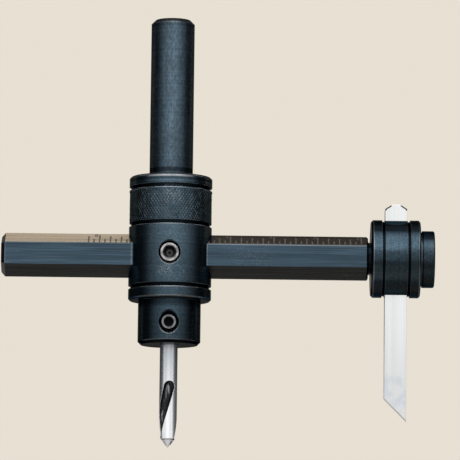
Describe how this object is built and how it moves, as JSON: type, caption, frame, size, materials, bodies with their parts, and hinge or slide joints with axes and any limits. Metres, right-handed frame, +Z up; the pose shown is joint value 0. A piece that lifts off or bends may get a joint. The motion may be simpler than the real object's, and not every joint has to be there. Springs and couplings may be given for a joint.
{
  "type": "adjustable circle cutter",
  "caption": "Adjustable circle cutter with a round shank, a sliding hexagonal beam, a pilot drill and a square tool bit clamped in a collar on the beam's end.",
  "frame": {"origin": "on the spindle's axis, at the shoulder where the shank meets the body's top face", "axes": "+Z up the shank, away from the drill; +X along the beam towards the tool bit; the lock screws face -Y"},
  "size_m": [0.1261, 0.0242, 0.1256],
  "materials": {
    "black_oxide_steel": "black oxide with an oily satin sheen",
    "ground_tool_steel": "surface ground, bright",
    "bright_drill_steel": "bright ground shank, dark flutes",
    "alloy_screw_steel": "black oxide, rubbed at the rim"
  },
  "bodies": {
    "spindle": {"shank": "black_oxide_steel", "body": "black_oxide_steel"},
    "beam": {"beam": "black_oxide_steel"},
    "tool_collar": {"tool_collar": "black_oxide_steel"},
    "clamp_washer": {"clamp_washer": "black_oxide_steel"},
    "clamp_screw": {"clamp_screw": "black_oxide_steel"},
    "tool_bit": {"tool_bit": "ground_tool_steel"},
    "pilot_drill": {"pilot_drill": "bright_drill_steel"},
    "beam_lock_screw": {"beam_lock_screw": "alloy_screw_steel"},
    "pilot_lock_screw": {"pilot_lock_screw": "alloy_screw_steel"}
  },
  "joints": [
    {"name": "beam_slide", "type": "slide", "parent": "spindle", "child": "beam", "axis": [1, 0, 0], "range_m": [-0.0461, 0.0326]},
    {"name": "collar_slide", "type": "slide", "parent": "beam", "child": "tool_collar", "axis": [1, 0, 0], "range_m": [0, 0.0004]},
    {"name": "bit_slide", "type": "slide", "parent": "tool_collar", "child": "tool_bit", "axis": [0, 0, 1], "range_m": [-0.004, 0.025]},
    {"name": "clamp_travel", "type": "slide", "parent": "beam", "child": "clamp_washer", "axis": [1, 0, 0], "range_m": [0, 0.000908]},
    {"name": "clamp_turn", "type": "hinge", "parent": "clamp_washer", "child": "clamp_screw", "pos_m": [0.07345, 0, -0.0231], "axis": [1, 0, 0], "range_deg": [0, 360]},
    {"name": "pilot_slide", "type": "slide", "parent": "spindle", "child": "pilot_drill", "axis": [0, 0, 1], "range_m": [-0.008, 0]},
    {"name": "beam_lock_turn", "type": "hinge", "parent": "spindle", "child": "beam_lock_screw", "pos_m": [0, -0.0114, -0.0231], "axis": [0, -1, 0], "range_deg": [0, 720]},
    {"name": "pilot_lock_turn", "type": "hinge", "parent": "spindle", "child": "pilot_lock_screw", "pos_m": [0, -0.00805, -0.043], "axis": [0, -1, 0], "range_deg": [0, 720]}
  ],
  "couplings": [
    {"joint": "clamp_travel", "follows": "collar_slide", "ratio": 2.2675},
    {"joint": "clamp_turn", "follows": "collar_slide", "rad_per_m": 15708}
  ]
}
